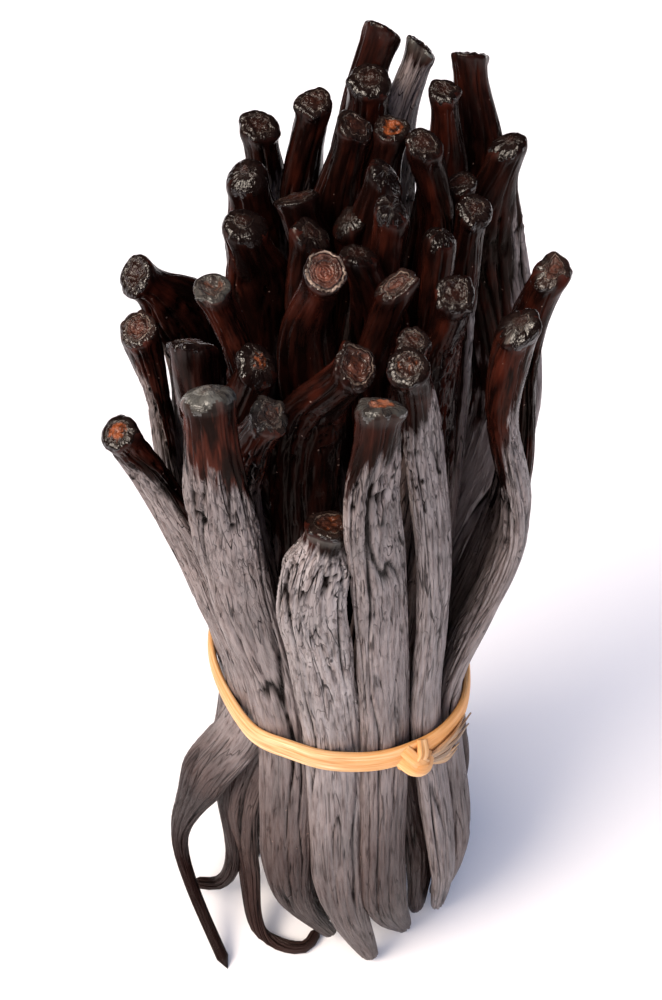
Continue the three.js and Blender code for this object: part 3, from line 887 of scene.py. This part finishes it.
podPieces = {  # piece: the places in each ring, points round a pod, rings of points along it
    "podsOuterFront": ([(0, 0), (0, 1), (0, 2), (0, 13)], 120, 100),
    "podsOuterRight": ([(0, 3), (0, 4), (0, 5)], 120, 100),
    "podsOuterBack": ([(0, 6), (0, 7), (0, 8), (0, 9)], 120, 100),
    "podsOuterLeft": ([(0, 10), (0, 11), (0, 12)], 120, 100),
    "podsSecondFront": ([(1, 0), (1, 1), (1, 2), (1, 8), (1, 9), (1, 10)], 88, 150),
    "podsSecondBack": ([(1, 3), (1, 4), (1, 5), (1, 6), (1, 7)], 88, 100),
    "podsInner": ([(ring, place) for ring in (2, 3, 4) for place in range(len(stemEnds[ring]))], 64, 70),
}
podSkin, podCut = curedVanillaSkin(), cutStemFibre()
pieces = []
for name, (places, sides, rings) in podPieces.items():
    blank = straightBlank("podBlank", sides, rings, cutEnd["rings"])
    blank.data.materials.append(podSkin)
    blank.data.materials.append(podCut)
    piece = joinAs(name, [layPod(one, blank) for one in pods if (one["ring"], one["place"]) in places])
    bpy.data.objects.remove(blank)
    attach(piece, "root")
    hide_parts("pods")
    pieces.append(piece)
    print(name, "made of", len(places), "pods,", len(piece.data.polygons), "faces")

# The core stands for the pods inside, which hardly show: it closes the gaps between the outer ones and is
# painted near black, as painted shade between them.
core = {
    "heights": (14, 127),
    # share of the height, radius
    "radii": [(0, 9), (0.13, 13.5), (0.46, 12.5), (0.66, 14.5), (0.86, 13.5), (1, 6)],
    "lean": (-1.5, 5),
    "leanFrom": (70, 125),
    # painted shade: how dark the core is painted, through the furrows' shade
    "darkness": 0.8,
    "lobes": 11,
    "lobeDepth": 1.3,
    "sides": 88,
    "rings": 40,
    "capInsets": [0.25, 0.25, 0.25],
}


def coreRadius(share):  # at a share of its height
    for (low, start), (high, end) in zip(core["radii"], core["radii"][1:]):
        if share <= high:
            return mix(start, end, smoothStep(share, low, high))
    return core["radii"][-1][1]


coreRod = straightBlank("podsCore", core["sides"], core["rings"], core["capInsets"])
coreRod.data.materials.append(podSkin)
paintedCoreShade, coreGrain = vectorsOn(coreRod.data, ("state", "grain"))
for i, vertex in enumerate(coreRod.data.vertices):
    x, y, share = vertex.co
    lobe = core["lobeDepth"] * abs(math.sin(math.atan2(y, x) * core["lobes"] / 2 + share))
    radius = coreRadius(share) - core["lobeDepth"] + lobe
    height = mix(*core["heights"], share)
    place = Vector((radius * x, radius * y, height))
    coreGrain.data[i].vector = place
    paintedCoreShade.data[i].vector = (core["darkness"], 0, 0)
    lean = Vector((*core["lean"], 0)) * smoothStep(height, *core["leanFrom"])
    vertex.co = (place + lean - middle) * mm
corePiece = joinAs("podsCore", [coreRod])
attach(corePiece, "root")
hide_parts("pods")
print("core made")

# The raffia tie is drawn tight round the pods at the waist, knotted at the front right, with frayed ends.
tie = {
    "halfWidth": 2.3,
    "halfThickness": 0.7,
    "lift": 0.62,  # its middle stands this far out of the pods' outline
    "easing": (-9, -6, -3, 0, 3, 6, 9),  # degrees over which it rounds off the outline's corners
    "slabHalf": 2.0,
    "sides": 32,
    "steps": 420,
    "fibres": (0.09, 5.5, 14),  # depth, how many lie across, how far one runs
    "fibreStretch": 0.06,  # the pattern's length is this share, so that fibres run long
    "folds": (0.22, 0.35, 0.3, 25),  # depth, place across, how far it wanders, over what length
    "foldWidth": 0.3,
    "knotBearing": 33,
    "bearingStep": 2,
    "waver": 0.35,
    "orangeBearing": 60,  # the strand is most orange and painted lighter here, just past the knot, on its shaded side
    "orangeFade": (0.34, 0.98),  # cosines of the turn from there
    "sagDepth": 2.0,
    "sagBearing": -42,
    "sagReach": 15,
}
knotStrands = [  # each strand's places as (degrees from the knot, out, down), half width, half thickness
    ([(-4.5, 0.4, 3.6), (-2.5, 1.9, 1.9), (1.5, 2.3, -0.6), (4, 0.8, -2.4)], 1.35, 0.62),
    ([(5, 0.4, 4.2), (3, 2.2, 2.6), (-1.5, 2.5, 0.4), (-5.5, 0.9, -1.6)], 1.3, 0.6),
    ([(-7, 0.7, 0.6), (-2, 2.7, 1.9), (3, 2.8, 2.4), (8, 1.3, 1.4)], 1.45, 0.7),
]
tieEnds = [(38, 2.2, 5), (32, 6.5, 4)]  # degrees round from the knot, down, how many fibres
fray = {
    "reach": (0.82, 1.02),
    "fan": 1.1,  # from fibre to fibre at the tip
    "tipOut": (1, 2.2),
    "middleOut": (1.5, 2),
    "age": (0.3, 1),  # share of grey
    "halfWidth": 0.62,
    "halfThickness": 0.34,
    "thin": 0.25,
}


def tieHeight(x):
    return waist["height"] + waist["slope"] * x


tieBearings = [i * tie["bearingStep"] for i in range(360 // tie["bearingStep"])]
tieWays = [atBearing(1, bearing, 0) for bearing in tieBearings]
nearTie = []
for piece in pieces:
    for vertex in piece.data.vertices:
        place = vertex.co / mm + middle
        if abs(place.z - tieHeight(place.x)) < tie["slabHalf"]:
            nearTie.append(place)
reaches = [max(way.x * place.x + way.y * place.y for place in nearTie) for way in tieWays]


def hullRadius(bearing):
    reach = []
    for i, edge in enumerate(tieBearings):
        closeness = math.cos(math.radians(bearing - edge))
        if closeness > 0.5:
            reach.append(reaches[i] / closeness)
    return min(reach)


def tightRadius(bearing):
    return sum(hullRadius(bearing + turn) for turn in tie["easing"]) / len(tie["easing"])


def offPods(bearing, out, drop):
    place = atBearing(tightRadius(bearing) + out, bearing, 0)
    place.z = tieHeight(place.x) - drop
    return place


def strandSection(angle, run, seed, halfWidth, halfThickness):  # out of the flat and across it
    out, wide = math.cos(angle), math.sin(angle)
    out = math.copysign(abs(out) ** 0.7, out) * halfThickness
    depth, across, length = tie["fibres"]
    fibres = noise.noise((wide * across, out * 2, run / length + seed))
    ridge = depth * abs(fibres)
    depth, foldPlace, wander, length = tie["folds"]
    foldPlace += wander * noise.noise((run / length, seed, 0))
    ridge -= depth * furrow(wide - foldPlace, tie["foldWidth"])
    return out + math.copysign(1, out) * ridge, wide * halfWidth * (1 + 0.05 * fibres)


strandAttributes = ("fibre", "strandMarks")  # millimetres across and along it, share of grey and of orange with painted light


def layBand():  # a ring turned flat and drawn to the pods' outline
    deselectAll()
    bpy.ops.mesh.primitive_torus_add(
        major_segments=tie["steps"], minor_segments=tie["sides"], major_radius=1, minor_radius=0.25
    )
    band = bpy.context.object
    fibre, marks = vectorsOn(band.data, strandAttributes)
    radii = {}
    for i, vertex in enumerate(band.data.vertices):
        x, y, z = vertex.co
        bearing = math.degrees(math.atan2(x, -y))
        key = round(bearing, 2)
        if key not in radii:
            radii[key] = tightRadius(bearing)
        angle = math.atan2(z, math.hypot(x, y) - 1)
        turn = math.radians(bearing)
        seam = math.cos(turn), math.sin(turn)
        section = tie["halfWidth"], tie["halfThickness"]
        out, wide = strandSection(angle, 20 * seam[0], 3 + 2 * seam[1], *section)
        waver = tie["waver"] * noise.noise((seam[0] * 2, seam[1] * 2, 5))
        place = atBearing(radii[key] + tie["lift"] + out, bearing, 0)
        sag = tie["sagDepth"] * math.exp(-(((bearing - tie["sagBearing"]) / tie["sagReach"]) ** 2))
        place.z = tieHeight(place.x) + wide + waver - sag
        vertex.co = (place - middle) * mm
        loop = [waist["rings"][0] * side for side in seam]  # the fibres close on themselves at the back
        fibre.data[i].vector = (wide, out + loop[1] * tie["fibreStretch"], loop[0])
        # the share of orange, partly painted light, that the strand takes past the knot
        fromOrange = math.radians(bearing - tie["orangeBearing"])
        marks.data[i].vector = (0, smoothStep(math.cos(fromOrange), *tie["orangeFade"]), 0)
    return band


def layStrand(places, halfWidth, halfThickness, seed, age, thin, blank):  # thin is what is left at its tip
    strand = copyOf(blank)
    spine = Spine(places)
    fibre, marks = vectorsOn(strand.data, strandAttributes)
    for i, vertex in enumerate(strand.data.vertices):
        x, y, z = vertex.co
        across, angle = min(1, math.hypot(x, y)), math.atan2(y, x)
        run = spine.length * (1 - z)
        point, way = spine.at(run), spine.towardsLast(run)
        outwards = Vector((point.x, point.y, 0)).normalized()
        outwards = (outwards - way * outwards.dot(way)).normalized()
        share = mix(thin, 1, smoothStep(1 - z, 0, 0.5))
        out, wide = strandSection(angle, run, seed, halfWidth * share, halfThickness * share)
        place = point + (outwards * out + outwards.cross(way) * wide) * across
        vertex.co = (place - middle) * mm
        fibre.data[i].vector = (wide * across, out * across, run + seed * 40)
        marks.data[i].vector = (age, 0.5, 0)
    return strand


raffiaPatterns = {"lines": (280, 5), "broad": (70, 2)}  # how many fit side by side in 100 mm, detail


def driedRaffia():  # a dried strip of palm leaf: straw fibres that run lengthways, orange in places, and past the knot orange that is partly painted light on its shaded side
    material, shader, add = newMaterial("driedRaffia")
    fibre, marks = [add("Attribute", attribute_name=name).node.outputs[1] for name in strandAttributes]
    age, orange, _ = add("SeparateXYZ", marks).node.outputs
    way = add("VectorMath", fibre, (1, 1, tie["fibreStretch"]), **times)
    lines, broad = [
        add("TexNoise", named={"Vector": way, "Scale": count / 100, "Detail": detail})
        for count, detail in raffiaPatterns.values()
    ]
    colour = add("ValToRGB", lines, stops=[(0.3, "#b2783f"), (0.5, "#d8a972"), (0.68, "#ebcb9c")])
    old = add("ValToRGB", lines, stops=[(0.3, "#6d5137"), (0.5, "#96795c"), (0.68, "#b59c80")])
    warm = add("ValToRGB", broad, stops=[(0.4, 0.0), (0.7, 0.6)])
    # past the knot the strand is painted orange and lighter: partly its own colour, partly painted light on
    # its shaded side
    orange = add("Math", orange, 0.5, **times)
    for share, tint in ((warm, "#b87634"), (orange, "#ffab52"), (age, old)):
        colour = add("Mix", named={0: share, 6: colour, 7: tint}, **inColour)
    relief = add("Bump", named={"Strength": 1.0, "Distance": 0.15 * mm, "Height": lines})
    plug(shader, {"Base Color": colour, "Roughness": 0.55, "Normal": relief})
    return material


wrapBlank = straightBlank("strandBlank", 28, 60, [0.4])
endBlank = straightBlank("fibreBlank", 14, 60, [0.4])
knot = tie["knotBearing"]
tieParts = [layBand()]
for i, (places, halfWidth, halfThickness) in enumerate(knotStrands):
    places = [offPods(knot + turn, out, drop) for turn, out, drop in places]
    tieParts.append(layStrand(places, halfWidth, halfThickness, 3 + i, 0, 0.8, wrapBlank))
for turn, drop, count in tieEnds:
    for i in range(count):
        seed = turn + i * 7
        far = turn * between(seed, 1, fray["reach"])
        fan = (i - (count - 1) / 2) * fray["fan"]
        places = [  # from the knot to the tip
            offPods(knot, 1.6, 1),
            offPods(knot + 6, 1.8, drop * 0.25 + 1),
            offPods(knot + far * 0.6, between(seed, 3, fray["middleOut"]), drop * 0.75 + fan * 0.5),
            offPods(knot + far, between(seed, 2, fray["tipOut"]), drop + fan),
        ]
        size = fray["halfWidth"], fray["halfThickness"]
        age = between(seed, 4, fray["age"])
        tieParts.append(layStrand(places, *size, seed, age, fray["thin"], endBlank))
bpy.data.objects.remove(wrapBlank)
bpy.data.objects.remove(endBlank)
tiePiece = joinAs("raffiaTie", tieParts)
tiePiece.data.materials.append(driedRaffia())
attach(tiePiece, "root")
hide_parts("tie")
print("tie made:", len(tiePiece.data.polygons), "faces")

# A plain white floor, a large soft key from the left front, and a pale sky that darkens overhead.
studio = {
    "floorSize": 4000,
    "floorWhite": "#f5f2ef",
    "keyTurn": -52.5,
    "keyTilt": 43,
    "keys": [(2.5, 26, True), (3.2, 84, False)],  # watts per square metre, degrees across, seen in glints
    "keyColour": "#fff1e2",
    "horizonColour": "#e8efff",
    "frontSkyColour": "#a6bdf2",
    "backSkyColour": "#6b7998",
    "skyStrength": 0.95,
    "overhead": (0.05, 0.3),  # rise over which the horizon's colour gives way
    "backwards": (-0.5, 0.4),
}
deselectAll()
bpy.ops.mesh.primitive_plane_add(size=studio["floorSize"] * mm)
floor = bpy.context.object
floor.name = "floor"
floorPaint, floorShader, _ = newMaterial("whitePaperFloor")
plug(floorShader, {"Base Color": studio["floorWhite"], "Roughness": 0.9})
floor.data.materials.append(floorPaint)

world = bpy.data.worlds.new("studio")
bpy.context.scene.world = world
world.use_nodes = True
add = partial(addNode, world.node_tree)
_, backwards, upwards = add("SeparateXYZ", add("TexCoord")).node.outputs
high, behind = [
    add("MapRange", way, low, top)
    for way, (low, top) in ((upwards, studio["overhead"]), (backwards, studio["backwards"]))
]
overhead = add("Mix", named={0: behind, 6: studio["frontSkyColour"], 7: studio["backSkyColour"]}, **inColour)
skyColour = add("Mix", named={0: high, 6: studio["horizonColour"], 7: overhead}, **inColour)
plug(world.node_tree.nodes["Background"], {"Color": skyColour, "Strength": studio["skyStrength"]})
world.cycles_visibility.glossy = False  # the room is dark, so only the key and the floor show in glints

for power, angle, glints in studio["keys"]:
    bpy.ops.object.light_add(type="SUN")
    key = bpy.context.object
    key.data.energy = power
    key.data.angle = math.radians(angle)
    key.data.color = linear(studio["keyColour"])[:3]
    key.visible_glossy = glints
    key.rotation_euler = (math.radians(studio["keyTilt"]), 0, math.radians(studio["keyTurn"]))
bpy.context.scene.view_settings.view_transform = "Standard"
print("floor and lights made")
